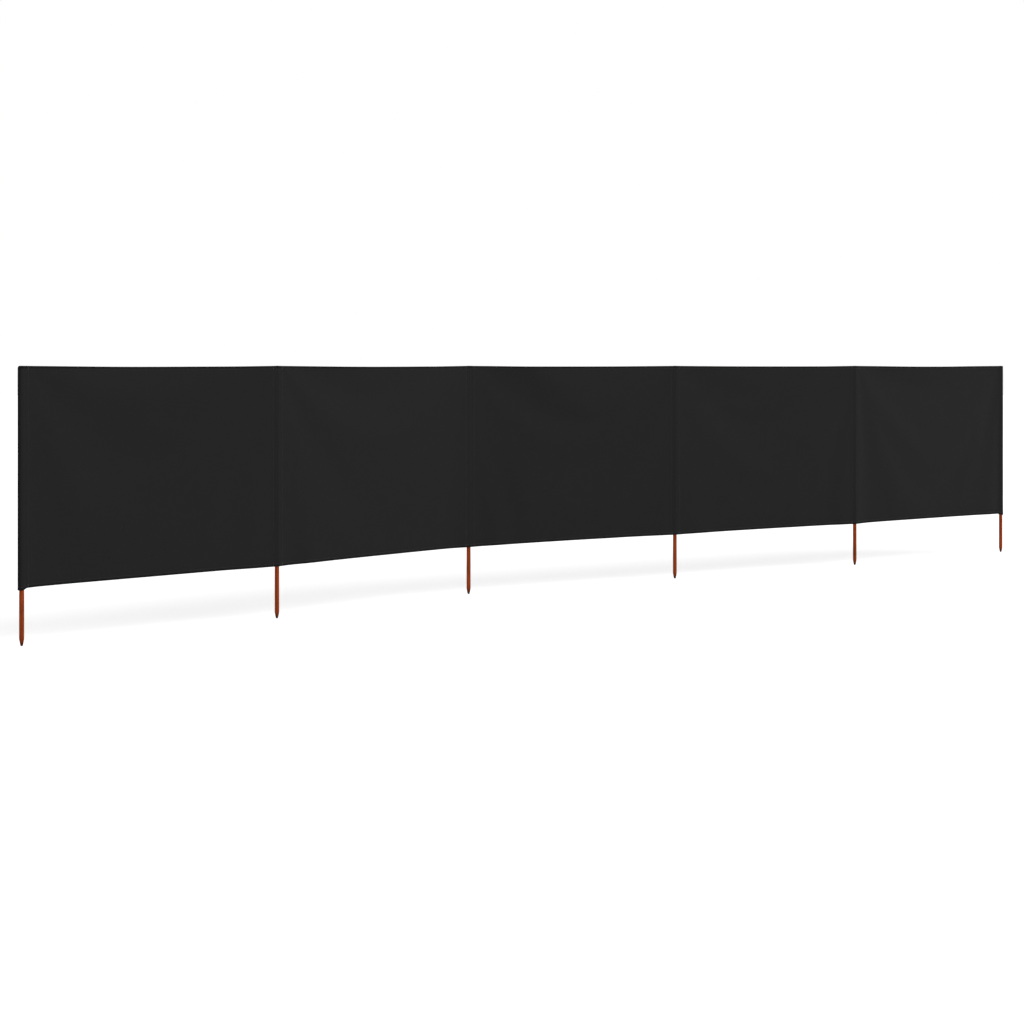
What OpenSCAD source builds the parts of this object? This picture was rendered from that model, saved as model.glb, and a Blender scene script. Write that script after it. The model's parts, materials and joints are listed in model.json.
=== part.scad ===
// Beach windbreak: a black cloth wall that runs on in five bays between six pushed-in wooden stakes.
// It stands along +X with +Z up. The origin is the flat end of the first stake's point.

/* [Wall] */
// Distance between neighbouring stakes
bay_w = 1200; // [800:10:1500]
// Height of the cloth from hem to hem
cloth_h = 800; // [500:10:1600]
// Length of stake that stands out below the cloth and goes into the ground
foot_l = 208; // [120:1:400]

/* [Stance] */
// Fold of the cloth at the second stake, in degrees
fold_2 = 5; // [-10:1:60]
// Fold of the cloth at the third stake, in degrees
fold_3 = 15; // [-10:1:60]
// Fold of the cloth at the fourth stake, in degrees
fold_4 = 0; // [-10:1:60]
// Fold of the cloth at the fifth stake, in degrees
fold_5 = -4; // [-10:1:60]

/* [Stakes] */
// Diameter of a stake's foot
stake_d = 18; // [12:0.5:30]
// Length of the tapered point
point_l = 26; // [16:1:60]
// Length of the blunter nose at the end of the point
nose_l = 5; // [2:0.5:10]
// Diameter where the nose meets the taper
nose_d = 10; // [7:0.5:11]
// Diameter of the flat end of the point
tip_d = 6; // [3:0.5:6.5]
// Bevel on the stake's top edge
bevel = 1.5; // [0.5:0.5:3]
// How much slimmer the stake is inside its sleeve, on the radius
relief = 0.25; // [0.2:0.05:0.5]

/* [Cloth] */
// Thickness of the cloth between the hems
cloth_t = 2; // [1:0.5:4]
// Height of the turned hems along the top and the bottom
hem_h = 15; // [8:1:40]
// Thickness of a hem, with its turned layers
hem_t = 3; // [2:0.5:6]
// Thickness of a sleeve's wall and of its sewn-over top
sleeve_t = 1.5; // [1:0.25:3]
// How far the two end sleeves reach out past a snug fit
end_slack = 4.5; // [0:0.5:12]
// How far the two end sleeves hang below the bottom hem
end_drop = 7; // [0:1:20]

/* [Fit] */
// Gap between a stake and its sleeve, and between a sleeve and the cloth beside it
play = 0.3; // [0.2:0.05:0.6]

/* [Hidden] */
bays = 5;
stakes = bays + 1;

// The bays fold to alternate sides like a concertina. A turn is counted to the left, seen from above.
turns = [0, fold_2, -fold_3, fold_4, -fold_5];

// Heights of the levels that pieces meet at
cloth_top = foot_l + cloth_h;
stake_top = cloth_top - sleeve_t - play;
foot_top = foot_l - end_drop - relief;

// Radii about a stake's axis
foot_r = stake_d / 2;
shank_r = foot_r - relief;
pocket_r = shank_r + play;
sleeve_r = pocket_r + sleeve_t;
cut_r = sleeve_r + play;

// Round faces are fine enough to look round
round_fn = 72;

function numbered(name, last) = [for (count = [1:last]) str(name, "_", count)];

function sum_to(list, last, i = 0) = i > last ? 0 : list[i] + sum_to(list, last, i + 1);

// Headings of the bays, set so that the mean one lies along +X
mean_turn = sum_to([for (bay = [0:bays - 1]) sum_to(turns, bay)], bays - 1) / bays;
headings = [for (bay = [0:bays - 1]) sum_to(turns, bay) - mean_turn];
steps = [for (heading = headings) bay_w * [cos(heading), sin(heading), 0]];

// Where stake number `count` stands
function stand(count) = count == 1 ? [0, 0, 0] : stand(count - 1) + steps[count - 2];

module on_stake(count) {
    translate(stand(count))
        children();
}

module along_bay(count) {
    translate(stand(count))
        rotate([0, 0, headings[count - 1]])
            children();
}

module stake(count) {
    color("#7a4019")
        on_stake(count)
            rotate_extrude($fn = round_fn)
                polygon([
                    [0, 0],
                    [tip_d / 2, 0],
                    [nose_d / 2, nose_l],
                    [foot_r, point_l],
                    [foot_r, foot_top],
                    [shank_r, foot_top + relief],
                    [shank_r, stake_top - bevel],
                    [shank_r - bevel, stake_top],
                    [0, stake_top]
                ]);
}

// A round pin of cloth or air that reaches `slack` to the left of the stake's axis
module pocket_form(r, slack, low, high) {
    for (shift = [0, -slack])
        translate([shift, 0, low])
            cylinder(r = r, h = high - low, $fn = round_fn);
    translate([-slack, -r, low])
        cube([slack, 2 * r, high - low]);
}

// The sleeves between two bays fit their stakes all round
module snug_sleeve(count) {
    color("#1c1c1d")
        on_stake(count)
            difference() {
                translate([0, 0, foot_l])
                    cylinder(r = sleeve_r, h = cloth_h, $fn = round_fn);
                translate([0, 0, foot_l - play])
                    cylinder(r = pocket_r, h = cloth_h - sleeve_t + play, $fn = round_fn);
            }
}

// The sleeves at the wall's two ends are looser, away from the cloth, and hang lower
module end_sleeve(bay, at_far_end) {
    color("#1c1c1d")
        along_bay(bay)
            translate([at_far_end ? bay_w : 0, 0, 0])
                mirror([at_far_end ? 1 : 0, 0, 0])
                    difference() {
                        pocket_form(sleeve_r, end_slack, foot_l - end_drop, cloth_top);
                        pocket_form(pocket_r, end_slack, foot_l - end_drop - play, cloth_top - sleeve_t);
                    }
}

// A flat strip of one bay's cloth, from sleeve to sleeve
module strip(bay, thickness, low, high) {
    color("#232324")
        along_bay(bay)
            difference() {
                translate([0, -thickness / 2, low])
                    cube([bay_w, thickness, high - low]);
                for (x = [0, bay_w])
                    translate([x, 0, low - play])
                        cylinder(r = cut_r, h = high - low + 2 * play, $fn = round_fn);
            }
}

module panel(bay) {
    strip(bay, cloth_t, foot_l + hem_h, cloth_top - hem_h);
}

module top_hem(bay) {
    strip(bay, hem_t, cloth_top - hem_h, cloth_top);
}

module bottom_hem(bay) {
    strip(bay, hem_t, foot_l, foot_l + hem_h);
}

for (count = [1:stakes])
    stake(count);

end_sleeve(1, false);  // sleeve_1
for (count = [2:stakes - 1])
    snug_sleeve(count);
end_sleeve(bays, true);  // sleeve_6

for (bay = [1:bays])
    panel(bay);
for (bay = [1:bays])
    top_hem(bay);
for (bay = [1:bays])
    bottom_hem(bay);
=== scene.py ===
"""Finish of a beach windbreak: black cloth in five bays, sewn sleeves, turned hems and stained stakes."""

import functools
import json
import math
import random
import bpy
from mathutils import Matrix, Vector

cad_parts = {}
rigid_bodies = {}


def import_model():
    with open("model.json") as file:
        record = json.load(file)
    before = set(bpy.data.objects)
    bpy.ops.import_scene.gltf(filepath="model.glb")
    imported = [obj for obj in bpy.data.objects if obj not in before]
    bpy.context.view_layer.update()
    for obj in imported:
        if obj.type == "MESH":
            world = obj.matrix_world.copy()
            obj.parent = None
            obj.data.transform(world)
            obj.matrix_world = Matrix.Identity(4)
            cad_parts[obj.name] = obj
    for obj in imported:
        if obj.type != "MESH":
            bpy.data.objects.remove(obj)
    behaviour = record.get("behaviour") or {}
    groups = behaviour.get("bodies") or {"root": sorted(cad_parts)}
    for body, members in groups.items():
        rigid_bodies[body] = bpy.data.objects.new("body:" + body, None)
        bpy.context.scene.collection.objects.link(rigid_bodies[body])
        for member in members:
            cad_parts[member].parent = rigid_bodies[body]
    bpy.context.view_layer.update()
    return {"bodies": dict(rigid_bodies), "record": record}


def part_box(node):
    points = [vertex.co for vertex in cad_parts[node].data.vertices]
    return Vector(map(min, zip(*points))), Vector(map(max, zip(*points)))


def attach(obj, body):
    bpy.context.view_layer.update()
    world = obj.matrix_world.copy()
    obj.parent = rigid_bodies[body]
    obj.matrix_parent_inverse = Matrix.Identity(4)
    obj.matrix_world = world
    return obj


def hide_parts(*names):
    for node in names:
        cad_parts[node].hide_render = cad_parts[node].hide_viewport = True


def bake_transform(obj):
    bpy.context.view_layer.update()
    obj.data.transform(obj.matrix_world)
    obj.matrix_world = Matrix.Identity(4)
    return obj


bl_info = {
    "name": "Beach windbreak finish",
    "version": (1, 0, 0),
    "blender": (4, 5, 0),
    "location": "3D View > Sidebar > Windbreak",
    "description": "Sews the cloth, sleeves and hems of a windbreak round its frame and stains its stakes",
    "category": "Add Mesh",
}

import bmesh
import bpy
import numpy as np
from mathutils import Matrix, Vector, noise

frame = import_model()

MM = 0.001

# -------------------------------- the frame's own measures

BAYS = len(frame["bodies"])
STAKES = BAYS + 1
CLOTH_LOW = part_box("bottom_hem_1")[0].z
CLOTH_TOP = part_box("top_hem_1")[1].z
CLOTH_H = CLOTH_TOP - CLOTH_LOW
HEM_H = CLOTH_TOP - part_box("top_hem_1")[0].z
STAKE_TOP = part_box("stake_1")[1].z
MOUTH_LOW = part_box("sleeve_1")[0].z
FOOT_R = next(m["dims"]["r_mm"] for m in frame["record"]["mounts"] if m["kind"] == "pin") * MM


def stake_axis(count):
    """Where stake number `count` stands, on the ground."""
    low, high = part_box(f"stake_{count}")
    return Vector(((low.x + high.x) / 2, (low.y + high.y) / 2, 0.0))


AXES = [stake_axis(count) for count in range(1, STAKES + 1)]
BAY_W = (AXES[1] - AXES[0]).length
END_REACH = AXES[0].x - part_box("sleeve_1")[0].x


def heading(bay):
    """The angle from +X of bay number `bay`, seen from above."""
    step = AXES[bay] - AXES[bay - 1]
    return math.atan2(step.y, step.x)


def bay_place(bay):
    """From a bay's own frame, x from its first stake and y away from the shown face, to the row frame."""
    return Matrix.Translation(AXES[bay - 1]) @ Matrix.Rotation(heading(bay), 4, "Z")


# -------------------------------- what a user would change


def length_property(name, description, default, low, high):
    """A length that a user would change. Its default and its limits are in millimetres."""
    return bpy.props.FloatProperty(
        name=name, description=description, default=default * MM, min=low * MM, max=high * MM,
        unit="LENGTH", precision=5,
    )


def colour_property(name, description, default):
    """A colour that a user would change."""
    return bpy.props.FloatVectorProperty(
        name=name, description=description, default=default, min=0.0, max=1.0, subtype="COLOR", size=3,
    )


class ClothSettings(bpy.types.PropertyGroup):
    """Sizes of the cloth, its sleeves and its hems."""

    thickness: length_property("Cloth thickness", "Thickness of one layer of cloth", 0.6, 0.2, 1.5)
    mesh_step: length_property("Mesh step", "Distance between the vertices of a panel", 10, 4, 40)
    wing: length_property("Sleeve reach", "From a stake's axis to the edge of its sleeve's strip", 30, 20, 60)
    seam: length_property("Sleeve seam", "From a stake's axis to the seam beside it", 24, 15, 50)
    near_pull: length_property("Near pull", "How soon the cloth falls back beside a stake", 33, 10, 80)
    far_pull: length_property("Far pull", "How far out a stake still pulls the cloth forward", 130, 40, 300)
    end_pull: length_property("Pull at the ends", "The same as near pull, at the two end stakes", 17, 8, 80)
    slack: length_property("Slack", "Height of the waves that the cloth has before it settles", 8, 0, 30)
    bow: length_property("Hem bow", "How far a hem curves in between two stakes", 2.5, 0, 15)
    colour: colour_property("Cloth colour", "Colour of the cloth", (0.0110, 0.0110, 0.0114))


class ThreadSettings(bpy.types.PropertyGroup):
    """The sewing thread."""

    pitch: length_property("Stitch pitch", "From one stitch to the next", 6, 2, 12)
    length: length_property("Stitch length", "Length of thread that shows in one stitch", 4.6, 1, 10)
    width: length_property("Thread width", "Thickness of the thread", 0.7, 0.2, 2)
    # The thread's default colour is lighter than the cloth's black, partly as painted sheen.
    colour: colour_property("Thread colour", "Colour of the thread", (0.045, 0.045, 0.046))


class WoodSettings(bpy.types.PropertyGroup):
    """The stakes and their stain."""

    point: length_property("Point length", "Length of a stake's taper", 26, 10, 60)
    sides: bpy.props.IntProperty(name="Sides", description="Faces round a stake", default=40, min=12, max=96)
    stain: colour_property("Stain", "Colour of the stained wood", (0.305, 0.0468, 0.0052))
    dark_stain: colour_property(
        "Dark stain", "Colour of the grain's dark lines and of the points", (0.101, 0.0163, 0.0023),
    )


class StageSettings(bpy.types.PropertyGroup):
    """Camera, lamps and floor."""

    azimuth: bpy.props.FloatProperty(
        name="Azimuth", description="How far the camera looks round from straight ahead",
        default=math.radians(-42.3), subtype="ANGLE",
    )
    depth: bpy.props.FloatProperty(
        name="Depth", description="From the camera to the first stake, along its line of sight",
        default=7.93, min=1.0, max=40.0, unit="LENGTH",
    )
    aside: bpy.props.FloatProperty(
        name="Aside", description="From the first stake to the camera, across its line of sight",
        default=1.765, min=-20.0, max=20.0, unit="LENGTH",
    )
    lens: bpy.props.FloatProperty(
        name="Focal length", description="Focal length of the lens, in millimetres",
        default=77.45, min=20.0, max=200.0,
    )
    shift: bpy.props.FloatProperty(
        name="Vertical shift", description="Shift of the level camera", default=-0.1426, min=-0.5, max=0.5,
    )
    key: bpy.props.FloatProperty(
        name="Key light", description="Strength of the soft key light", default=1.2, min=0.0, max=10.0,
    )
    ambient: bpy.props.FloatProperty(
        name="Ambient light", description="Strength of the studio's even light",
        default=0.72, min=0.0, max=1.0,
    )
    floor_lift: bpy.props.FloatProperty(
        name="Floor lift", description="Glow that brings the lit floor up to white",
        default=0.36, min=0.0, max=1.0,
    )
    floor: colour_property("Floor colour", "Colour of the floor", (0.93, 0.93, 0.93))


SETTINGS = {
    "windbreak_cloth": ClothSettings,
    "windbreak_thread": ThreadSettings,
    "windbreak_wood": WoodSettings,
    "windbreak_stage": StageSettings,
}


def cloth_settings():
    return bpy.context.scene.windbreak_cloth


def thread_settings():
    return bpy.context.scene.windbreak_thread


def wood_settings():
    return bpy.context.scene.windbreak_wood


def stage_settings():
    return bpy.context.scene.windbreak_stage


# -------------------------------- shared making

SHARPEST_SMOOTH = math.radians(60)


def smooth(value, low, high):
    """0 below low, 1 above high, and an eased ramp between them."""
    share = min(1.0, max(0.0, (value - low) / (high - low)))
    return share * share * (3 - 2 * share)


def give_thickness(edit, thickness):
    """Turns an open sheet into a closed shell with its middle where the sheet was, and sharp rims."""
    edit.normal_update()
    for vert in edit.verts:
        vert.co += vert.normal * thickness / 2
    bmesh.ops.solidify(edit, geom=edit.faces, thickness=thickness)
    edit.normal_update()
    for face in edit.faces:
        face.smooth = True
    for edge in edit.edges:
        edge.smooth = edge.calc_face_angle(math.pi) < SHARPEST_SMOOTH


def finish_piece(name, edit, material, solid=0.0):
    """Makes an object at the origin from the edit mesh, shaded smooth, with cloth thickness if asked."""
    if solid:
        give_thickness(edit, solid)
    else:
        for face in edit.faces:
            face.smooth = True
    mesh = bpy.data.meshes.new(name)
    edit.to_mesh(mesh)
    edit.free()
    piece = bpy.data.objects.new(name, mesh)
    bpy.context.scene.collection.objects.link(piece)
    mesh.materials.append(material)
    return piece


def cloth_grid(columns, rows, place):
    """A grid with vertex (column i, row j) where place(i, j) says: (position, place on the flat cloth)."""
    edit = bmesh.new()
    layer = edit.loops.layers.uv.new("cloth")
    bmesh.ops.create_grid(edit, x_segments=columns, y_segments=rows, size=0.5)
    flat_places = []
    for vert in edit.verts:
        vert.co, flat = place(vert.index % (columns + 1), vert.index // (columns + 1))
        flat_places.append(flat)
    for face in edit.faces:
        for loop in face.loops:
            loop[layer].uv = flat_places[loop.vert.index]
    return edit


# -------------------------------- how the cloth stands at a stake


def is_end(count):
    return count in (1, STAKES)


def end_bay(count):
    """The bay at an end stake, and the side of the stake on which it lies: 1 or -1 along X."""
    return (1, 1) if count == 1 else (BAYS, -1)


def up_share(z):
    """0 at the cloth's lower edge, 1 at its top edge."""
    return (z - CLOTH_LOW) / CLOTH_H


def mouth(z):
    """1 where a sleeve's turned lower hem makes it wider, 0 above."""
    return 1 - smooth(z, CLOTH_LOW + HEM_H, CLOTH_LOW + 2.2 * HEM_H)


def sleeve_radius(z):
    """From the stake's axis to the middle of the cloth round it."""
    return FOOT_R + (0.65 + 0.95 * mouth(z)) * MM


def pulls(count, z):
    """How a stake's pull on the cloth fades to its sides, as (share, length) pairs."""
    cloth = cloth_settings()
    far = cloth.far_pull * (0.6 + 0.7 * up_share(z))
    if is_end(count):
        return (0.78, cloth.end_pull), (0.22, far)
    return (0.5, cloth.near_pull), (0.5, far)


def in_front(count, side, z):
    """How far the cloth's middle stands in front of the stakes' plane, `side` away from a stake's axis."""
    r = sleeve_radius(z)
    fades = pulls(count, z)
    lean = math.atan(r * sum(share / length for share, length in fades))
    touch = r * math.sin(lean)
    if side < touch:
        return math.sqrt(r * r - side * side)
    return r * math.cos(lean) * sum(share * math.exp((touch - side) / length) for share, length in fades)


def behind(count, side, z):
    """How far a sleeve's back stands behind the stakes' plane: round the stake, and straight to its seam."""
    r, seam = sleeve_radius(z), cloth_settings().seam
    layers = (1.3 + 1.8 * mouth(z)) * MM
    if side >= seam:
        return layers - in_front(count, side, z)
    sewn = Vector((seam, layers - in_front(count, seam, z)))
    touch_angle = math.atan2(sewn.y, sewn.x) + math.acos(r / sewn.length)
    touch = Vector((math.cos(touch_angle), math.sin(touch_angle))) * r
    if side <= touch.x:
        return math.sqrt(r * r - side * side)
    return touch.y + (sewn.y - touch.y) * (side - touch.x) / (seam - touch.x)


def loose(count, x, z):
    """Loose places in a sleeve: small folds that run down it, wider at its mouth."""
    drift = noise.noise(Vector((x * 40, z * 6, count * 13.7)))
    low = 1 - smooth(z, CLOTH_LOW, CLOTH_LOW + 90 * MM)
    return (0.4 + 0.5 * drift + low * (0.5 + 0.8 * drift)) * MM


# -------------------------------- how a panel hangs

SETTLING_STEP = 22 * MM
SETTLING_MOMENTS = 30
SETTLING_GRAVITY = 0.5
# A knot may settle by this many times the slack.
SETTLING_LIMIT = 2.0


def panel_span():
    """Where a bay's panel starts and ends along its bay."""
    wing = cloth_settings().wing
    return wing, BAY_W - wing


def settling_counts():
    """How many columns and rows of faces a settling panel has."""
    first, last = panel_span()
    return round((last - first) / SETTLING_STEP), round(CLOTH_H / SETTLING_STEP)


def first_waves(bay, x, z):
    """The slack that a bay's cloth has before it settles, as waves to both sides of its plane."""
    broad = noise.noise(Vector((x * 3.1, z * 1.7, bay * 7.3)))
    fine = noise.noise(Vector((x * 7.5, z * 2.6, bay * 3.9 + 50)))
    first, last = panel_span()
    hold = smooth(x, first, first + 0.22) * smooth(last - x, 0.0, 0.22)
    return cloth_settings().slack * (1.5 * broad + 0.7 * fine) * hold


def settle(piece, columns):
    """Lets a panel settle, held along both upright edges. Returns its vertices' places."""
    held = piece.vertex_groups.new(name="sewn")
    held.add([v.index for v in piece.data.vertices if v.index % (columns + 1) in (0, columns)], 1.0, "ADD")
    modifier = piece.modifiers.new("settle", "CLOTH")
    settings = modifier.settings
    settings.quality = 6
    settings.mass = 0.1
    settings.tension_stiffness = settings.compression_stiffness = 250
    settings.shear_stiffness = 120
    settings.bending_stiffness = 2.0
    settings.air_damping = 3
    settings.effector_weights.gravity = SETTLING_GRAVITY
    settings.vertex_group_mass = held.name
    modifier.collision_settings.use_collision = False
    modifier.point_cache.frame_end = 2 * SETTLING_MOMENTS
    scene = bpy.context.scene
    for moment in range(1, SETTLING_MOMENTS + 1):
        scene.frame_set(moment)
    seen = piece.evaluated_get(bpy.context.evaluated_depsgraph_get())
    settled = np.array([v.co for v in seen.data.vertices])
    piece.modifiers.remove(modifier)
    scene.frame_set(1)
    return settled


@functools.lru_cache(maxsize=None)
def settling(bay):
    """How far each knot of a bay's flat cloth moves as it hangs: rows by columns by (x, y, z)."""
    columns, rows = settling_counts()
    first, last = panel_span()

    def flat(i, j):
        x = first + (last - first) * i / columns
        z = CLOTH_LOW + CLOTH_H * j / rows
        return Vector((x, 0.0, z))

    def waved(i, j):
        at = flat(i, j)
        at.y = first_waves(bay, at.x, at.z)
        return at, (at.x, at.z)

    edit = cloth_grid(columns, rows, waved)
    level = np.array([flat(v.index % (columns + 1), v.index // (columns + 1)) for v in edit.verts])
    piece = finish_piece(f"settling_{bay}", edit, cloth_material("cloth"))
    moved = settle(piece, columns) - level
    bpy.data.objects.remove(piece)
    far = np.linalg.norm(moved, axis=1, keepdims=True)
    limit = SETTLING_LIMIT * cloth_settings().slack
    moved *= np.minimum(1.0, limit / np.maximum(far, 1e-9))
    return moved.reshape(rows + 1, columns + 1, 3)


def knot_weights(places, number):
    """For places from 0 to `number`, how much each knot counts in a smooth curve through all of them."""
    weights = np.zeros((len(places), number + 1))
    for row, place in enumerate(places):
        place = min(max(place, 0.0), float(number))
        knot = min(int(place), number - 1)
        t = place - knot
        shares = (
            -0.5 * t**3 + t**2 - 0.5 * t,
            1.5 * t**3 - 2.5 * t**2 + 1,
            -1.5 * t**3 + 2 * t**2 + 0.5 * t,
            0.5 * t**3 - 0.5 * t**2,
        )
        for step, share in enumerate(shares, start=knot - 1):
            weights[row, min(max(step, 0), number)] += share
    return weights


def on_cloth(bay, xs, zs):
    """Where the points (x, z) of a bay's flat cloth hang, in its own frame: rows by columns by (x, y, z)."""
    cloth = cloth_settings()
    columns, rows = settling_counts()
    first, last = panel_span()
    across = knot_weights([(x - first) / (last - first) * columns for x in xs], columns)
    upward = knot_weights([(z - CLOTH_LOW) / CLOTH_H * rows for z in zs], rows)
    hung = np.einsum("zr,rck,xc->zxk", upward, settling(bay), across)
    for row, z in enumerate(zs):
        up = up_share(z)
        for column, x in enumerate(xs):
            along = min(1.0, max(0.0, (x - first) / (last - first)))
            arch = 4 * along * (1 - along) * cloth.bow * ((1 - up) ** 3 - 0.4 * up**3)
            front = in_front(bay, x, z) + in_front(bay + 1, BAY_W - x, z)
            hung[row, column] += (x, -front, z + arch)
    return hung


# -------------------------------- materials


def put(tree, value, socket):
    """Gives an input a value, or links it to another node's socket."""
    if isinstance(value, bpy.types.NodeSocket):
        tree.links.new(value, socket)
    else:
        socket.default_value = value


def feed(tree, node, **inputs):
    """Sets or links a node's inputs, which are named with _ for each space, and returns the node."""
    for label, value in inputs.items():
        put(tree, value, node.inputs[label.replace("_", " ")])
    return node


def fed_node(tree, kind, **inputs):
    """The outputs of a new node with these inputs."""
    return feed(tree, tree.nodes.new(kind), **inputs).outputs


def math_node(tree, operation, *values):
    """The result of a math node that is fed by sockets or numbers."""
    node = tree.nodes.new("ShaderNodeMath")
    node.operation = operation
    for socket, value in zip(node.inputs, values):
        put(tree, value, socket)
    return node.outputs[0]


def distance(tree, first, second):
    """How far one value is from another."""
    return math_node(tree, "ABSOLUTE", math_node(tree, "SUBTRACT", first, second))


def noise_node(tree, vector, scales, detail, roughness=0.5):
    """Noise with its own scale along each axis."""
    drawn_out = fed_node(tree, "ShaderNodeMapping", Vector=vector, Scale=scales)["Vector"]
    return fed_node(
        tree, "ShaderNodeTexNoise", Vector=drawn_out, Scale=1.0, Detail=detail, Roughness=roughness,
    )["Fac"]


def ramp(tree, factor, low, high):
    """A map range from the span low to high onto 0 to 1."""
    return fed_node(tree, "ShaderNodeMapRange", Value=factor, From_Min=low, From_Max=high)["Result"]


def mix_colour(tree, factor, first, second):
    """A mix of two colours, each a socket or a value."""
    node = tree.nodes.new("ShaderNodeMix")
    node.data_type = "RGBA"
    tree.links.new(factor, node.inputs["Factor"])
    sockets = {s.name: s for s in node.inputs if s.type == "RGBA"}
    for label, value in (("A", first), ("B", second)):
        put(tree, value if isinstance(value, bpy.types.NodeSocket) else (*value, 1.0), sockets[label])
    return next(s for s in node.outputs if s.type == "RGBA")


def new_group(name, vector, numbers, outputs):
    """A shader group with one vector input, these number inputs and these outputs, all numbers."""
    group = bpy.data.node_groups.new(name, "ShaderNodeTree")
    group.interface.new_socket(name=vector, in_out="INPUT", socket_type="NodeSocketVector")
    for label, value in numbers.items():
        socket = group.interface.new_socket(name=label, in_out="INPUT", socket_type="NodeSocketFloat")
        socket.default_value = value
    for label in outputs:
        group.interface.new_socket(name=label, in_out="OUTPUT", socket_type="NodeSocketFloat")
    return group, group.nodes.new("NodeGroupInput").outputs, group.nodes.new("NodeGroupOutput")


@functools.lru_cache(maxsize=None)
def weave_group():
    """Plain weave: warp and weft threads that cross over and under, with slubs along them."""
    group, given, out = new_group("plain weave", "Cloth", {"Threads per metre": 1500.0}, ["Height", "Slub"])
    parts = fed_node(group, "ShaderNodeSeparateXYZ", Vector=given["Cloth"])
    turn = math_node(group, "MULTIPLY", given["Threads per metre"], math.pi)
    weft = math_node(group, "SINE", math_node(group, "MULTIPLY", parts["X"], turn))
    warp = math_node(group, "SINE", math_node(group, "MULTIPLY", parts["Y"], turn))
    crossing = math_node(group, "ABSOLUTE", math_node(group, "MULTIPLY", weft, warp))
    slub_x = noise_node(group, given["Cloth"], (14.0, 420.0, 1.0), 3.0)
    slub_y = noise_node(group, given["Cloth"], (420.0, 14.0, 1.0), 3.0)
    slub = math_node(group, "MULTIPLY", math_node(group, "ADD", slub_x, slub_y), 0.5)
    feed(group, out, Height=math_node(group, "MULTIPLY_ADD", slub, 0.8, crossing), Slub=slub)
    return group


@functools.lru_cache(maxsize=None)
def double_and_fold_shade_group():
    """Masks for painted shade: where the row is sewn double, at the stakes and in the hems, and where it is
    folded at its outline.
    """
    group, given, out = new_group("sewn double", "Cloth", {}, ["Layers", "Fold"])
    seam = cloth_settings().seam
    parts = fed_node(group, "ShaderNodeSeparateXYZ", Vector=given["Cloth"])
    side = math_node(group, "PINGPONG", parts["X"], BAY_W / 2)
    # Painted shade where the cloth is sewn double: the strips beside each stake and the hems.
    sleeve = ramp(group, side, seam + 5 * MM, seam - 4 * MM)
    from_low, from_top = (distance(group, parts["Y"], edge) for edge in (CLOTH_LOW, CLOTH_TOP))
    from_edge = math_node(group, "MINIMUM", from_low, from_top)
    hem = ramp(group, from_edge, HEM_H + 1 * MM, HEM_H - 2 * MM)
    middle = BAYS * BAY_W / 2
    end_fold = middle + sum(end_lengths(1)) / 2 - cloth_settings().wing
    from_fold = distance(group, distance(group, parts["X"], middle), end_fold)
    # Painted shade along the folded outline: the top and bottom edges and the outer folds of the end sleeves.
    folds = ramp(group, from_edge, 8.5 * MM, 2 * MM), ramp(group, from_fold, 13 * MM, 2 * MM)
    feed(group, out, Layers=math_node(group, "MAXIMUM", sleeve, hem),
         Fold=math_node(group, "MAXIMUM", *folds))
    return group


@functools.lru_cache(maxsize=None)
def fade_group():
    """Broad, faint changes of tone, as handling and sun leave on cloth and stain."""
    group, given, out = new_group("broad fading", "Place", {"Patches per metre": 3.0}, ["Fade"])
    broad = fed_node(
        group, "ShaderNodeTexNoise", Vector=given["Place"], Scale=given["Patches per metre"], Detail=4.0,
    )
    feed(group, out, Fade=ramp(group, broad["Fac"], 0.3, 0.7))
    return group


def placed_group(tree, group, **inputs):
    """The outputs of a shader group with these inputs."""
    node = tree.nodes.new("ShaderNodeGroup")
    node.node_tree = group
    return feed(tree, node, **inputs).outputs


def new_material(name):
    """A material, its node tree and its shader."""
    material = bpy.data.materials.new(name)
    material.use_nodes = True
    tree = material.node_tree
    return material, tree, tree.nodes["Principled BSDF"]


def object_place(tree):
    """Where a point is on its object."""
    return tree.nodes.new("ShaderNodeTexCoord").outputs["Object"]


def bump(tree, height, reach):
    """The normal of a surface with this height, from 0 to 1 over `reach`."""
    return fed_node(tree, "ShaderNodeBump", Strength=1.0, Distance=reach, Height=height)["Normal"]


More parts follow.
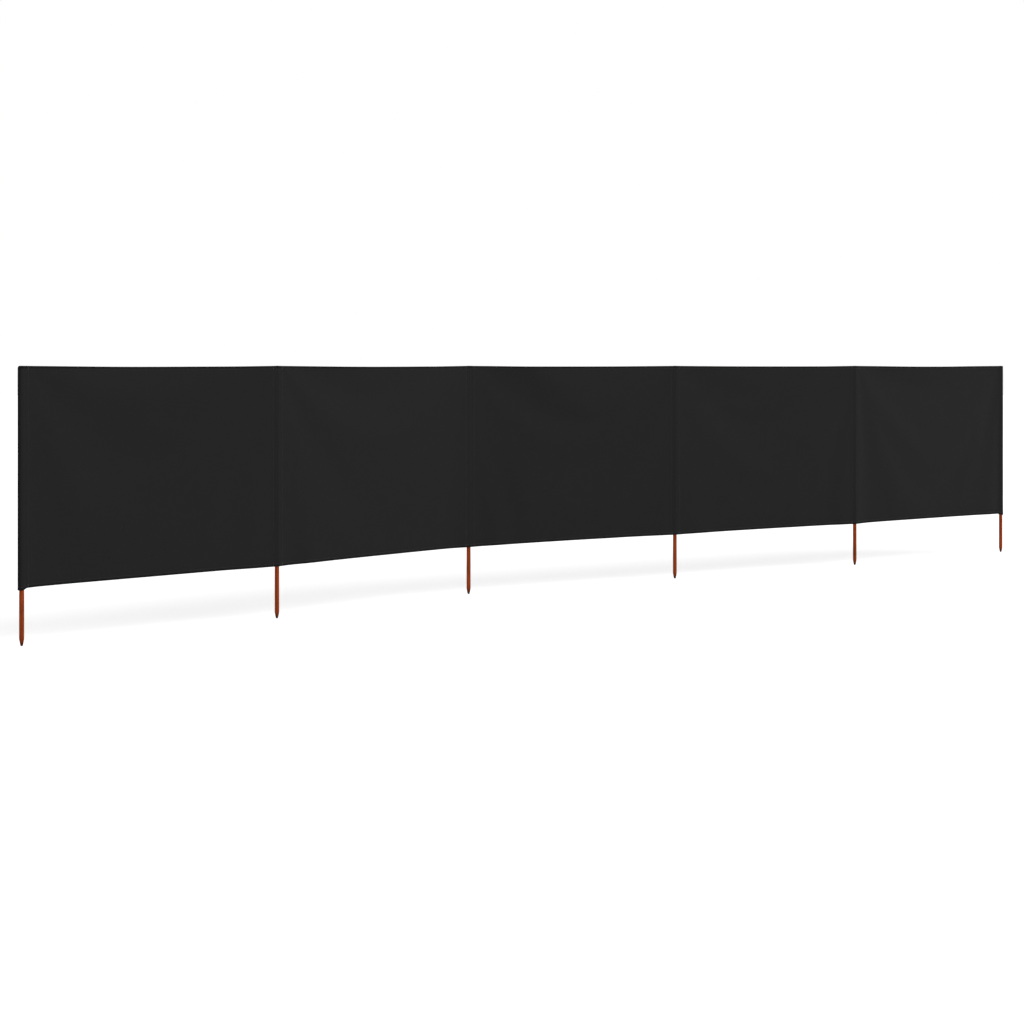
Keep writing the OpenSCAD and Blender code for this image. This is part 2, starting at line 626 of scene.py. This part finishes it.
@functools.lru_cache(maxsize=None)
def cloth_material(finish):
    """Black plain-woven polyester, lighter towards its top as painted light from above, and a little deeper
    in tone, as painted shade, where it is sewn double and along its folds.
    """
    material, tree, shader = new_material(f"black {finish}")
    base = Vector(cloth_settings().colour)
    coordinates = tree.nodes.new("ShaderNodeUVMap")
    coordinates.uv_map = "cloth"
    flat, place = coordinates.outputs["UV"], object_place(tree)
    weave = placed_group(tree, weave_group(), Cloth=flat)
    double = placed_group(tree, double_and_fold_shade_group(), Cloth=flat)
    fade = placed_group(tree, fade_group(), Place=place, Patches_per_metre=2.2)["Fade"]
    # Painted light and shade: the colour is lighter towards the top and darker towards the bottom, mixed with
    # random fading.
    high = ramp(tree, fed_node(tree, "ShaderNodeSeparateXYZ", Vector=place)["Z"], CLOTH_LOW, CLOTH_TOP)
    toplight_and_fade = math_node(tree, "MULTIPLY_ADD", high, 0.6, math_node(tree, "MULTIPLY", fade, 0.4))
    toplit_and_faded = mix_colour(tree, toplight_and_fade, base * 0.9, base * 1.07)
    slubbed = mix_colour(tree, ramp(tree, weave["Slub"], 0.4, 0.7), toplit_and_faded, base * 1.3)
    # Painted shade where the cloth is sewn double, standing in for less light shining through two layers.
    double_shaded = mix_colour(tree, math_node(tree, "MULTIPLY", double["Layers"], 0.12), slubbed, base * 0.7)
    # Painted shade along the folded outline, nearly black at the very edge.
    shaded = mix_colour(tree, math_node(tree, "MULTIPLY", double["Fold"], 0.9), double_shaded, base * 0.1)
    rough = math_node(tree, "MULTIPLY_ADD", ramp(tree, weave["Slub"], 0.2, 0.8), 0.2, 0.66)
    creases = math_node(tree, "MULTIPLY", noise_node(tree, flat, (22.0, 15.0, 1.0), 3.0, 0.55), 0.6)
    height = math_node(tree, "MULTIPLY_ADD", weave["Height"], 0.12, creases)
    feed(tree, shader, Base_Color=shaded, Roughness=rough, Specular_IOR_Level=0.1, Sheen_Weight=0.012,
         Sheen_Roughness=0.4, Normal=bump(tree, height, 1 * MM))
    return material


@functools.lru_cache(maxsize=None)
def thread_material():
    """Twisted black polyester thread."""
    material, tree, shader = new_material("black thread")
    twist = noise_node(tree, object_place(tree), (2600.0, 2600.0, 2600.0), 1.0)
    # The thread's colour is a little lighter than black, partly as painted sheen.
    colour = Vector(thread_settings().colour)
    feed(tree, shader, Base_Color=mix_colour(tree, twist, colour * 0.7, colour * 1.4),
         Roughness=math_node(tree, "MULTIPLY_ADD", twist, 0.2, 0.4), Specular_IOR_Level=0.3,
         Normal=bump(tree, twist, 0.05 * MM))
    return material


@functools.lru_cache(maxsize=None)
def wood_material():
    """Round hardwood with a reddish stain: fine grain along the stake, and a darker point."""
    material, tree, shader = new_material("stained wood")
    wood = wood_settings()
    stain, dark = Vector(wood.stain), Vector(wood.dark_stain)
    place = object_place(tree)
    grain = noise_node(tree, place, (420.0, 420.0, 7.0), 5.0, 0.62)
    pores = noise_node(tree, place, (1900.0, 1900.0, 45.0), 2.0)
    fade = placed_group(tree, fade_group(), Place=place, Patches_per_metre=11.0)["Fade"]
    lit = mix_colour(tree, fade, stain * 0.72, stain * 1.25)
    lined = mix_colour(tree, ramp(tree, grain, 0.47, 0.66), lit, dark)
    pored = mix_colour(tree, ramp(tree, pores, 0.58, 0.7), lined, dark * 0.6)
    height = fed_node(tree, "ShaderNodeSeparateXYZ", Vector=place)["Z"]
    # The point is darker, in a band whose top follows the grain.
    darker_point = ramp(tree, math_node(tree, "MULTIPLY_ADD", grain, 16 * MM, height), 36 * MM, 12 * MM)
    rough = math_node(tree, "MULTIPLY_ADD", grain, 0.3, 0.42)
    relief = math_node(tree, "MULTIPLY_ADD", pores, 0.5, grain)
    feed(tree, shader, Base_Color=mix_colour(tree, darker_point, pored, dark * 0.45), Roughness=rough,
         Specular_IOR_Level=0.09, Normal=bump(tree, relief, 0.16 * MM))
    return material


# -------------------------------- stakes

# A point's outline as (radius, height), in millimetres, drawn for a point of this length.
POINT = [(0.0, 0.0), (2.4, 0.0), (3.3, 0.5), (4.1, 1.6), (5.0, 4.0), (5.6, 6.4), (7.2, 14.5), (8.5, 22.5),
         (8.9, 25.0)]
POINT_DRAWN = 26
SHANK_STEPS = 60
# The shank's radius is this much less than the foot's, and gets there over this length below the cloth.
SLIMMER, SLIMMING = 0.25 * MM, 12 * MM


def make_stakes():
    """Six round stakes, each turned from one outline, with a blunt point."""
    wood = wood_settings()
    levels = [(r * MM, z * wood.point / POINT_DRAWN) for r, z in POINT]
    levels.append((FOOT_R, wood.point + 2 * MM))
    for step in range(1, SHANK_STEPS):
        levels.append((FOOT_R, wood.point + (STAKE_TOP - wood.point) * step / SHANK_STEPS))
    levels += [(FOOT_R, STAKE_TOP - 1.6 * MM), (FOOT_R - 0.5 * MM, STAKE_TOP - 0.5 * MM),
               (FOOT_R - 1.6 * MM, STAKE_TOP), (0.0, STAKE_TOP)]
    for count in range(1, STAKES + 1):
        make_stake(count, levels, wood.sides)


def make_stake(count, levels, sides):
    """One stake, not quite round, as wood that was turned and then dried."""
    edit = bmesh.new()
    verts = []
    for r, z in levels:
        slim = SLIMMER * smooth(z, CLOTH_LOW - SLIMMING, CLOTH_LOW) if r > 0 else 0.0
        verts.append(edit.verts.new((max(r - slim, 0.0), 0.0, z)))
    edges = [edit.edges.new(pair) for pair in zip(verts, verts[1:])]
    bmesh.ops.spin(
        edit, geom=[*verts, *edges], cent=(0, 0, 0), axis=(0, 0, 1), angle=math.tau,
        steps=sides, use_merge=True, use_duplicate=False,
    )
    bmesh.ops.remove_doubles(edit, verts=edit.verts, dist=0.01 * MM)
    axis = AXES[count - 1]
    for vert in edit.verts:
        around = Vector((vert.co.x, vert.co.y, 0.0))
        if around.length > 0:
            wave = noise.noise(Vector((vert.co.x * 60, vert.co.y * 60, vert.co.z * 9 + count * 11)))
            vert.co += around.normalized() * 0.16 * MM * wave
        vert.co += axis
    bmesh.ops.recalc_face_normals(edit, faces=edit.faces)
    piece = finish_piece(f"stained_stake_{count}", edit, wood_material())
    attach(piece, stake_body(count))
    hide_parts(f"stake_{count}")


def stake_body(count):
    """The bay that a stake moves with: the one before it."""
    return "bay_1" if count == 1 else f"bay_{count - 1}"


# -------------------------------- panels


def make_panels():
    """The cloth of each bay, as it settles between two stakes."""
    for bay in range(1, BAYS + 1):
        make_panel(bay)


def make_panel(bay):
    cloth = cloth_settings()
    first, last = panel_span()
    low, top = CLOTH_LOW + HEM_H, CLOTH_TOP - HEM_H
    columns, rows = round((last - first) / cloth.mesh_step), round((top - low) / cloth.mesh_step)
    xs = [first + (last - first) * i / columns for i in range(columns + 1)]
    zs = [low + (top - low) * j / rows for j in range(rows + 1)]
    hung = on_cloth(bay, xs, zs)
    edit = cloth_grid(columns, rows, lambda i, j: (hung[j, i], ((bay - 1) * BAY_W + xs[i], zs[j])))
    edit.transform(bay_place(bay))
    piece = finish_piece(f"panel_cloth_{bay}", edit, cloth_material("cloth"), cloth.thickness)
    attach(piece, f"bay_{bay}")
    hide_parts(f"panel_{bay}")


# -------------------------------- hems

# A hem's cloth in millimetres, as (behind the panel's middle, in from the edge): its front, and then its
# fold and turned back.
HEM_FRONT = [(0.0, 15.0), (0.05, 13.4), (0.25, 12.0), (-0.1, 10.6), (-0.3, 7.5), (-0.3, 4.0), (-0.1, 1.3)]
HEM_BACK = [(0.1, 0.6), (0.4, 0.15), (0.75, 0.0), (1.1, 0.15), (1.4, 0.6), (1.6, 1.3), (1.85, 4.0),
            (1.85, 8.0), (1.7, 10.6), (1.4, 12.0), (1.6, 13.4), (1.5, 14.5), (1.3, 14.95), (1.1, 15.05),
            (0.9, 14.95), (0.75, 14.5), (0.75, 12.5)]
STITCH_ROW = 12 * MM


def make_hems():
    """The turned top and bottom hems of each bay."""
    for bay in range(1, BAYS + 1):
        for top in (True, False):
            make_hem(bay, top)


def stitch_count(length):
    """How many stitches a row of this length has."""
    return round(length / thread_settings().pitch)


def stitch_places(low, high):
    """Where the middles of a row's stitches are, between its ends at low and high."""
    number = stitch_count(high - low)
    return [low + (high - low) * (k + 0.5) / number for k in range(number)]


def pinch(height):
    """How much of a stitch's pull a hem feels at this height: all of it at the stitch row."""
    return math.exp(-(((height - STITCH_ROW) / (1.8 * MM)) ** 2))


def make_hem(bay, top):
    first, last = panel_span()
    columns = 2 * stitch_count(last - first)
    outline = [(y * MM, height * MM) for y, height in HEM_FRONT + HEM_BACK]
    inward = -1 if top else 1
    edge = CLOTH_TOP if top else CLOTH_LOW
    xs = [first + (last - first) * i / columns for i in range(columns + 1)]
    at_edge, inside = on_cloth(bay, xs, [edge, edge + inward * HEM_H])

    def place(i, j):
        y, height = outline[j]
        at = Vector(at_edge[i]).lerp(Vector(inside[i]), height / HEM_H)
        needle = 0.22 * MM * pinch(height) * (1 if i % 2 == 0 else -0.3)
        roll = 0.3 * MM * noise.noise(Vector((xs[i] * 45, edge * 3, bay * 5 + 0.5)))
        at.y += y + (needle if y < 0.6 * MM else -needle) + (roll if j >= len(HEM_FRONT) else 0.0)
        turned = height if j < len(HEM_FRONT) else -height
        return at, ((bay - 1) * BAY_W + xs[i], edge + inward * turned)

    edit = cloth_grid(columns, len(outline) - 1, place)
    edit.transform(bay_place(bay))
    if not top:
        bmesh.ops.reverse_faces(edit, faces=edit.faces)
    name = "top_hem" if top else "bottom_hem"
    piece = finish_piece(f"turned_{name}_{bay}", edit, cloth_material("hem"), cloth_settings().thickness)
    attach(piece, f"bay_{bay}")
    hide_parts(f"{name}_{bay}")


# -------------------------------- sleeves

# A sleeve's lower hem in millimetres, as (in from the outer layer, up from its edge), from inside to outside.
MOUTH_HEM = [(1.25, 14.0), (1.25, 9.0), (1.25, 4.0), (1.22, 1.4), (1.1, 0.6), (0.9, 0.15), (0.6, 0.0),
             (0.3, 0.15), (0.08, 0.6), (-0.1, 1.3), (-0.3, 4.0), (-0.3, 7.5), (-0.1, 10.6), (0.25, 12.0),
             (0.05, 13.4), (0.0, 15.0)]
# A row further in than this belongs to the hem's turned layer.
INNER_LAYER = 0.9 * MM
# The mesh: rows up a sleeve, columns and rows over the stake's top at an inner stake, and at an end stake.
RISE_ROWS = 96
INNER_COLUMNS, OVER_ROWS = 40, 12
END_COLUMNS, LID_ROWS = 72, 6


def sleeve_rows():
    """The rows of a sleeve from its inner hem up to its top: (in from the outer layer, height, lid)."""
    hem = [(layer * MM, height * MM, 0.0) for layer, height in MOUTH_HEM]
    rise = (CLOTH_H - HEM_H) / RISE_ROWS
    return hem + [(0.0, HEM_H + rise * row, 0.0) for row in range(1, RISE_ROWS + 1)]


def bend_reach():
    """How far to each side of its stake an inner sleeve bends."""
    return cloth_settings().wing - 5 * MM


def bent_at(count, x):
    """How an inner stake's cloth turns from one bay's heading to the next, x to the side of the stake."""
    turn = heading(count) - heading(count - 1)
    return Matrix.Rotation(turn * smooth(x, -bend_reach(), bend_reach()), 4, "Z")


def pocket_place(count, x, layer, height, lid):
    """A point of an inner sleeve: lid runs from 0 in front of the stake, over its top, to 1 behind it."""
    z = CLOTH_LOW + height
    front, back = -in_front(count, abs(x), z), behind(count, abs(x), z)
    bulge = (back - front) / (2 * sleeve_radius(z))
    puff = loose(count, x, z) * smooth(bulge, 0.15, 0.8) * smooth(CLOTH_TOP - z, 0.0, 40 * MM)
    front -= 0.25 * puff
    back += puff
    share = 0.5 - 0.5 * math.cos(math.pi * lid)
    y = front + (back - front) * share + layer * (1 - 2 * share)
    z += (0.7 + 2.4 * bulge) * MM * math.sin(math.pi * lid)
    z -= (0.7 + 1.6 * bulge) * MM * height / CLOTH_H
    return bent_at(count, x) @ Vector((x, y, z))


def stake_place(count):
    """From the frame of a stake, with the heading of the bay before it, to the row frame."""
    return Matrix.Translation(AXES[count - 1]) @ Matrix.Rotation(heading(max(count - 1, 1)), 4, "Z")


def make_inner_sleeve(count):
    """The cloth in front of a stake and the strip behind it, shut over its top and hemmed at its mouth."""
    wing = cloth_settings().wing
    up = sleeve_rows()
    top = up[-1][1]
    over = [(0.0, top, row / OVER_ROWS) for row in range(1, OVER_ROWS)]
    down = [(layer, height, 1.0) for layer, height, lid in reversed(up)]
    rows = up + over + down

    def place(i, j):
        layer, height, lid = rows[j]
        side = 2 * i / INNER_COLUMNS - 1
        x = wing * (0.42 * side + 0.58 * side**3)
        run = height if lid < 0.5 else 2 * top - height
        if layer > INNER_LAYER:
            run = -run if lid < 0.5 else run + 2 * HEM_H
        return pocket_place(count, x, layer, height, lid), ((count - 1) * BAY_W + x, CLOTH_LOW + run)

    edit = cloth_grid(INNER_COLUMNS, len(rows) - 1, place)
    edit.transform(stake_place(count))
    bmesh.ops.reverse_faces(edit, faces=edit.faces)
    piece = finish_piece(f"sewn_sleeve_{count}", edit, cloth_material("sleeve"), cloth_settings().thickness)
    bend_at(piece)
    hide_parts(f"sleeve_{count}")


def bend_at(piece):
    """Bakes the place of a piece at an inner stake, between the two bays that meet there, into its mesh."""
    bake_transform(piece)


def end_outline(count, p, z):
    """A point of an end sleeve's outline, p from 0 at its front edge, round the stake, to 1 at its back."""
    cloth = cloth_settings()
    far = END_REACH - 0.3 * MM - 0.6 * MM * mouth(z)
    half = 2 * min(p, 1 - p)
    if half <= 0.5:
        x = cloth.wing * (1 - half / 0.5)
        return x, -in_front(count, x, z) if p < 0.5 else behind(count, x, z)
    turned = (half - 0.5) / 0.5 * math.pi / 2
    y = sleeve_radius(z) * math.cos(turned) ** 0.8
    return -far * math.sin(turned), -y if p < 0.5 else y


@functools.lru_cache(maxsize=None)
def end_lengths(count):
    """The lengths of cloth between the columns of an end sleeve, at mid height."""
    middle = (CLOTH_LOW + CLOTH_TOP) / 2
    outline = [Vector(end_outline(count, i / END_COLUMNS, middle)) for i in range(END_COLUMNS + 1)]
    return [(b - a).length for a, b in zip(outline, outline[1:])]


def end_place(count, p, layer, height, lid):
    """A point of an end sleeve. lid runs from 0 at its side to 1 where front and back meet over the stake."""
    cloth = cloth_settings()
    x, y = end_outline(count, p, CLOTH_LOW + height)
    outer = smooth(-x, 8.5 * MM, END_REACH)
    tall = height / CLOTH_H
    drop = (MOUTH_LOW - CLOTH_LOW) * smooth(cloth.seam - x, 0.0, 30 * MM)
    thick = min(1.0, abs(y) / (9 * MM))
    z = CLOTH_LOW + height + drop * (1 - tall) - (1.0 + 1.5 * thick + 7.0 * outer) * MM * tall
    open_here = smooth(cloth.seam - x, 0.0, 10 * MM) * smooth(CLOTH_TOP - z, 0.0, 60 * MM)
    inward = Vector((-x, -y)).normalized() if x < 0 else Vector((0.0, 1.0 if p < 0.5 else -1.0))
    shift = inward * (layer - loose(count, x, z) * open_here * abs(inward.y))
    middle = (behind(count, x, z) - in_front(count, x, z)) / 2 if x > 0 else 0.0
    closing = math.cos(math.pi / 2 * lid)
    z += (1.0 + 2.0 * thick) * MM * math.sin(math.pi / 2 * lid)
    return Vector((x + shift.x, middle + (y + shift.y - middle) * closing, z))


def make_end_sleeve(count):
    """A looser sleeve round an end stake, which hangs a little lower than the hem and is sewn shut on top."""
    bay, side = end_bay(count)
    rows = sleeve_rows()
    rows += [(0.0, rows[-1][1], row / LID_ROWS) for row in range(1, LID_ROWS + 1)]

    def place(i, j):
        layer, height, lid = rows[j]
        at = end_place(count, i / END_COLUMNS, layer, height, lid)
        at.x *= side
        along = side * (cloth_settings().wing - sum(end_lengths(count)[:i]))
        run = -height if layer > INNER_LAYER else height
        return at, ((count - 1) * BAY_W + along, CLOTH_LOW + run)

    edit = cloth_grid(END_COLUMNS, len(rows) - 1, place)
    edit.transform(stake_place(count))
    bmesh.ops.remove_doubles(edit, verts=edit.verts, dist=0.02 * MM)
    bmesh.ops.recalc_face_normals(edit, faces=edit.faces)
    piece = finish_piece(f"sewn_sleeve_{count}", edit, cloth_material("sleeve"), cloth_settings().thickness)
    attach(piece, f"bay_{bay}")
    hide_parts(f"sleeve_{count}")


def make_sleeves():
    """The six sewn sleeves."""
    for count in range(1, STAKES + 1):
        if is_end(count):
            make_end_sleeve(count)
        else:
            make_inner_sleeve(count)


# -------------------------------- stitching

# How far a stitch's middle stands off the middle of the cloth in front, and off the panel's middle behind.
STITCH_LIFT = 0.3 * MM
BACK_LIFT = 1.95 * MM
# The upright rows and the bar tacks start this far in from the cloth's edges.
ROW_MARGIN = 4 * MM
TACK_MARGIN = 9 * MM
TACK_STEP, TACK_LENGTH = 0.85 * MM, 4.6 * MM
# The length of the row round an end sleeve's mouth.
MOUTH_ROW = 82 * MM


def stitch(at, along, out, draw, length=None):
    """From a unit bead to one stitch, which lies along `along` on cloth that faces `out`."""
    thread = thread_settings()
    wander = Vector([draw.uniform(-0.05, 0.05) for _ in range(3)])
    along = (Vector(along).normalized() + wander).normalized()
    across = Vector(out).cross(along).normalized()
    turn = Matrix((along, across, along.cross(across))).transposed().to_4x4()
    half = (length or thread.length) / 2
    return Matrix.Translation(at) @ turn @ Matrix.Diagonal((half, thread.width / 2, thread.width / 2.4, 1.0))


def sew(name, stitches, place):
    """One object of all these stitches, each the same small bead of thread."""
    edit = bmesh.new()
    bmesh.ops.create_icosphere(edit, subdivisions=1, radius=1.0)
    bead = bpy.data.meshes.new("bead")
    edit.to_mesh(bead)
    edit.clear()
    corners = [vert.co.copy() for vert in bead.vertices]
    for where in stitches:
        bead.vertices.foreach_set("co", [c for corner in corners for c in where @ corner])
        edit.from_mesh(bead)
    bpy.data.meshes.remove(bead)
    edit.transform(place)
    return finish_piece(name, edit, thread_material())


def make_hem_stitching(bay):
    """One row of stitches along each hem, seen from both sides."""
    draw = random.Random(bay)
    stitches = []
    heights = [CLOTH_LOW + STITCH_ROW, CLOTH_TOP - STITCH_ROW]
    for row in on_cloth(bay, stitch_places(*panel_span()), heights):
        for at, along in zip(row, np.gradient(row, axis=0)):
            for out in (Vector((0, -STITCH_LIFT, 0)), Vector((0, BACK_LIFT, 0))):
                stitches.append(stitch(Vector(at) + out, along, out.normalized(), draw))
    piece = sew(f"hem_stitching_{bay}", stitches, bay_place(bay))
    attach(piece, f"bay_{bay}")


def bar_tack(at, out, draw):
    """A block of short stitches across a seam's end, where the sleeve's mouth pulls at it."""
    steps = [Vector((0, 0, step * TACK_STEP)) for step in range(-5, 6)]
    return [stitch(at + step, (1, 0, 0), out, draw, TACK_LENGTH) for step in steps]


def stitch_round(at, beside, turn, draw):
    """A stitch from `at` towards `beside`, which goes anticlockwise round the stake if `turn` is 1."""
    out = (beside - at).cross(Vector((0, 0, turn)))
    return stitch(at + out.normalized() * STITCH_LIFT, beside - at, out, draw)


def seam_stitches(count, side, draw):
    """The upright row beside a stake, and the bar tacks at its ends, on the cloth's front and back."""
    cloth = cloth_settings()
    x = side * (cloth.seam + 1 * MM)
    turn = bent_at(count, x) if not is_end(count) else Matrix.Identity(4)
    lift = cloth.thickness / 2 + 0.15 * MM
    stitches = []
    for face in (-1, 1):
        out = turn @ Vector((0, face, 0))

        def on_face(z):
            y = behind(count, abs(x), z) if face == 1 else -in_front(count, abs(x), z)
            return turn @ Vector((x, y + face * lift, z))

        for z in stitch_places(CLOTH_LOW + ROW_MARGIN, CLOTH_TOP - ROW_MARGIN):
            stitches.append(stitch(on_face(z), (0, 0, 1), out, draw))
        for z in (CLOTH_LOW + TACK_MARGIN, CLOTH_TOP - TACK_MARGIN):
            stitches += bar_tack(on_face(z) + out * STITCH_LIFT, out, draw)
    return stitches


def make_inner_stitching(count):
    """The seams of an inner stake's sleeve, and the hems' rows across its front."""
    draw = random.Random(100 + count)
    wing = cloth_settings().wing
    stitches = seam_stitches(count, -1, draw) + seam_stitches(count, 1, draw)
    for height in (STITCH_ROW, CLOTH_H - STITCH_ROW):
        for x in stitch_places(-wing, wing):
            at, beside = (pocket_place(count, x + step, 0.0, height, 0.0) for step in (0.0, 1 * MM))
            stitches.append(stitch_round(at, beside, 1, draw))
    piece = sew(f"sleeve_stitching_{count}", stitches, stake_place(count))
    bend_at(piece)


def make_end_stitching(count):
    """The seam of an end stake's sleeve, and the row round its mouth."""
    draw = random.Random(100 + count)
    bay, side = end_bay(count)
    stitches = seam_stitches(count, side, draw)
    for along in stitch_places(0.0, MOUTH_ROW):
        share = 0.1 + 0.8 * along / MOUTH_ROW
        at, beside = (end_place(count, share + step, 0.0, STITCH_ROW, 0.0) for step in (0.0, 0.01))
        at.x, beside.x = at.x * side, beside.x * side
        stitches.append(stitch_round(at, beside, -side, draw))
    piece = sew(f"sleeve_stitching_{count}", stitches, stake_place(count))
    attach(piece, f"bay_{bay}")


def make_stitching():
    """All the sewing thread that shows."""
    for bay in range(1, BAYS + 1):
        make_hem_stitching(bay)
    for count in range(1, STAKES + 1):
        if is_end(count):
            make_end_stitching(count)
        else:
            make_inner_stitching(count)


# -------------------------------- stage

KEY_DIRECTION = Vector((-0.36, 0.75, -0.56))
KEY_SPREAD = math.radians(50)
# From the floor's middle to its edge, in metres.
FLOOR_REACH = 60.0


def make_floor():
    """A wide, pale floor that keeps the row's soft shadow."""
    stage = stage_settings()
    edit = bmesh.new()
    bmesh.ops.create_grid(edit, x_segments=1, y_segments=1, size=FLOOR_REACH)
    material, tree, shader = new_material("pale floor")
    seen = tree.nodes.new("ShaderNodeLightPath").outputs["Is Camera Ray"]
    feed(tree, shader, Base_Color=(*stage.floor, 1.0), Roughness=0.9, Specular_IOR_Level=0.0,
         Emission_Color=(1.0, 1.0, 1.0, 1.0),
         Emission_Strength=math_node(tree, "MULTIPLY", seen, stage.floor_lift))
    floor = finish_piece("pale_floor", edit, material)


def make_world():
    """Even light from all round, in front of a white background."""
    world = bpy.data.worlds.new("white studio")
    bpy.context.scene.world = world
    world.use_nodes = True
    tree = world.node_tree
    path = tree.nodes.new("ShaderNodeLightPath").outputs
    seen = math_node(tree, "MAXIMUM", path["Is Camera Ray"], path["Is Transmission Ray"])
    ambient = stage_settings().ambient
    strength = math_node(tree, "MULTIPLY_ADD", seen, 1.0 - ambient, ambient)
    feed(tree, tree.nodes["Background"], Color=(1.0, 1.0, 1.0, 1.0), Strength=strength)


def make_key():
    """One broad, soft light from the front right, the same all along the row."""
    data = bpy.data.lights.new("key", "SUN")
    data.energy = stage_settings().key
    data.angle = KEY_SPREAD
    lamp = bpy.data.objects.new("key", data)
    lamp.rotation_euler = KEY_DIRECTION.to_track_quat("-Z", "Y").to_euler()
    bpy.context.scene.collection.objects.link(lamp)


def make_camera():
    """A level camera at the height of the cloth's top edge."""
    stage = stage_settings()
    right = Vector((math.cos(stage.azimuth), math.sin(stage.azimuth), 0.0))
    ahead = Vector((-math.sin(stage.azimuth), math.cos(stage.azimuth), 0.0))
    data = bpy.data.cameras.new("camera")
    data.lens = stage.lens
    data.sensor_width = 36.0
    data.shift_y = stage.shift
    data.clip_end = 200.0
    camera = bpy.data.objects.new("camera", data)
    camera.location = AXES[0] + right * stage.aside - ahead * stage.depth + Vector((0.0, 0.0, CLOTH_TOP))
    camera.rotation_euler = ahead.to_track_quat("-Z", "Y").to_euler()
    bpy.context.scene.collection.objects.link(camera)
    bpy.context.scene.camera = camera


def make_stage():
    """White studio, one soft key light and a level camera at the height of the cloth's top."""
    make_floor()
    make_world()
    make_key()
    make_camera()
    bpy.context.scene.view_settings.view_transform = "Standard"


# -------------------------------- operators


class WINDBREAK_OT_stakes(bpy.types.Operator):
    """Turn and stain the six stakes"""

    bl_idname = "windbreak.stakes"
    bl_label = "Stakes"

    def execute(self, context):
        make_stakes()
        return {"FINISHED"}


class WINDBREAK_OT_panels(bpy.types.Operator):
    """Hang the cloth of the five bays"""

    bl_idname = "windbreak.panels"
    bl_label = "Panels"

    def execute(self, context):
        make_panels()
        return {"FINISHED"}


class WINDBREAK_OT_hems(bpy.types.Operator):
    """Turn the top and bottom hems"""

    bl_idname = "windbreak.hems"
    bl_label = "Hems"

    def execute(self, context):
        make_hems()
        return {"FINISHED"}


class WINDBREAK_OT_sleeves(bpy.types.Operator):
    """Sew the six sleeves round the stakes"""

    bl_idname = "windbreak.sleeves"
    bl_label = "Sleeves"

    def execute(self, context):
        make_sleeves()
        return {"FINISHED"}


class WINDBREAK_OT_stitching(bpy.types.Operator):
    """Add the stitches of the hems and sleeves"""

    bl_idname = "windbreak.stitching"
    bl_label = "Stitching"

    def execute(self, context):
        make_stitching()
        return {"FINISHED"}


class WINDBREAK_OT_stage(bpy.types.Operator):
    """Set up the floor, lamps, world and camera"""

    bl_idname = "windbreak.stage"
    bl_label = "Stage"

    def execute(self, context):
        make_stage()
        return {"FINISHED"}


OPERATORS = (
    WINDBREAK_OT_stage,
    WINDBREAK_OT_stakes,
    WINDBREAK_OT_panels,
    WINDBREAK_OT_hems,
    WINDBREAK_OT_sleeves,
    WINDBREAK_OT_stitching,
)


class WINDBREAK_PT_finish(bpy.types.Panel):
    """Lists the windbreak's settings and steps"""

    bl_idname = "WINDBREAK_PT_finish"
    bl_label = "Windbreak finish"
    bl_space_type = "VIEW_3D"
    bl_region_type = "UI"
    bl_category = "Windbreak"

    def draw(self, context):
        for settings_name, settings_class in SETTINGS.items():
            box = self.layout.box()
            for property_name in settings_class.__annotations__:
                box.prop(getattr(context.scene, settings_name), property_name)
        for operator in OPERATORS:
            self.layout.operator(operator.bl_idname)


CLASSES = (*SETTINGS.values(), *OPERATORS, WINDBREAK_PT_finish)


def register():
    for item in CLASSES:
        bpy.utils.register_class(item)
    for settings_name, settings_class in SETTINGS.items():
        setattr(bpy.types.Scene, settings_name, bpy.props.PointerProperty(type=settings_class))


def unregister():
    for settings_name in SETTINGS:
        delattr(bpy.types.Scene, settings_name)
    for item in reversed(CLASSES):
        bpy.utils.unregister_class(item)


def main():
    register()
    bpy.ops.windbreak.stage()
    bpy.ops.windbreak.stakes()
    bpy.ops.windbreak.panels()
    bpy.ops.windbreak.hems()
    bpy.ops.windbreak.sleeves()
    bpy.ops.windbreak.stitching()


if __name__ == "__main__":
    main()
